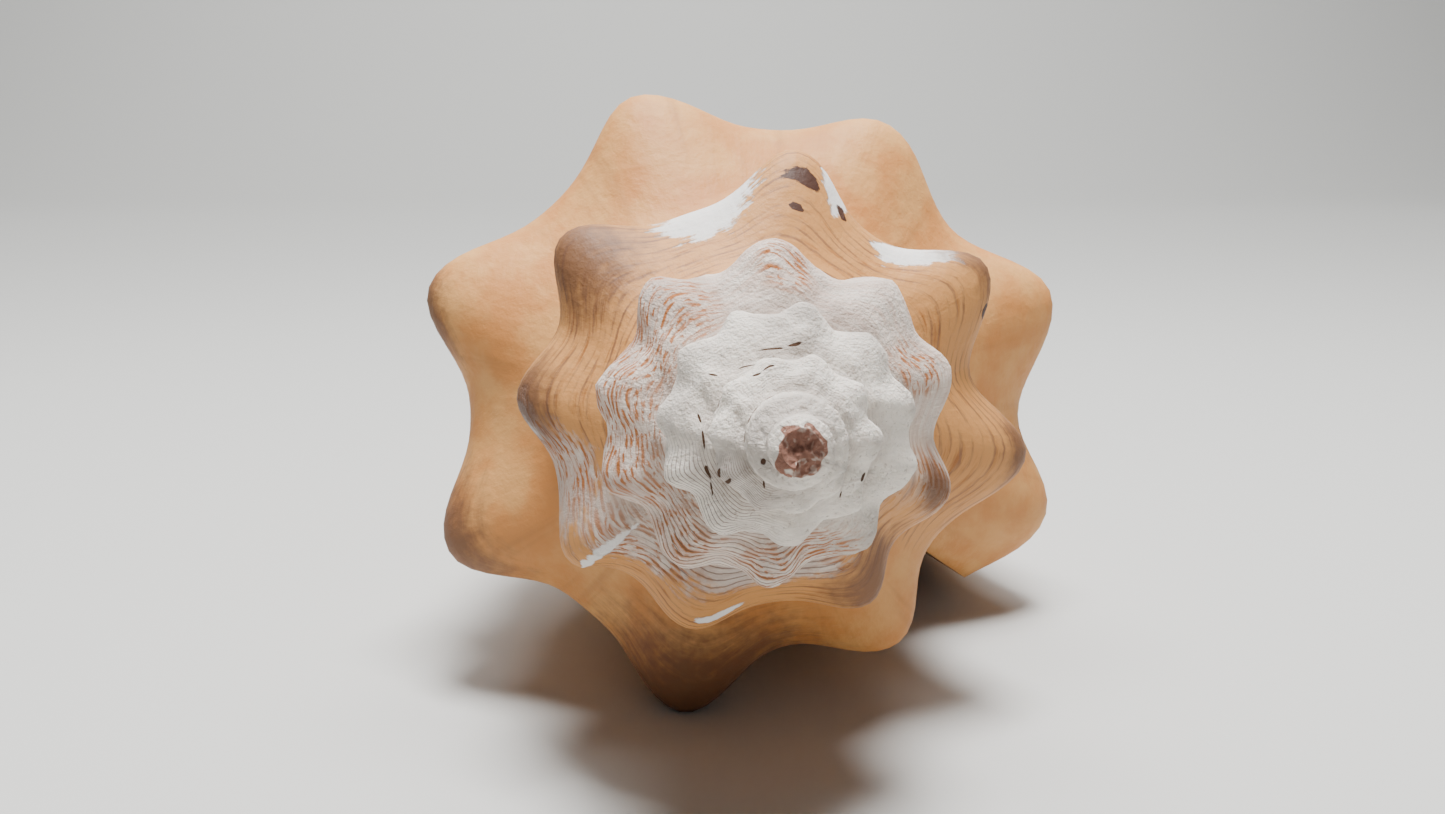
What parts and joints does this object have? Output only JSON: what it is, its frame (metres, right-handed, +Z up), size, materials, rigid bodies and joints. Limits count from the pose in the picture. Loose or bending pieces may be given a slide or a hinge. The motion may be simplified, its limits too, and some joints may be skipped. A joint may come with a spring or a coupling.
{
  "type": "sea shell",
  "caption": "Large spindle-shaped sea snail shell with a knobbly stepped spire and a long open canal, lying mouth down.",
  "frame": {"origin": "centre of the bounding box's base, on the ground the shell lies on", "axes": "+Z up; the long axis lies along Y, with the spire towards -Y and the canal towards +Y; the mouth faces down"},
  "size_m": [0.1068, 0.2706, 0.0918],
  "materials": {
    "shell": "smooth worn shell, a little chalky on the spire"
  },
  "bodies": {
    "root": {"shell": "shell"}
  },
  "joints": []
}
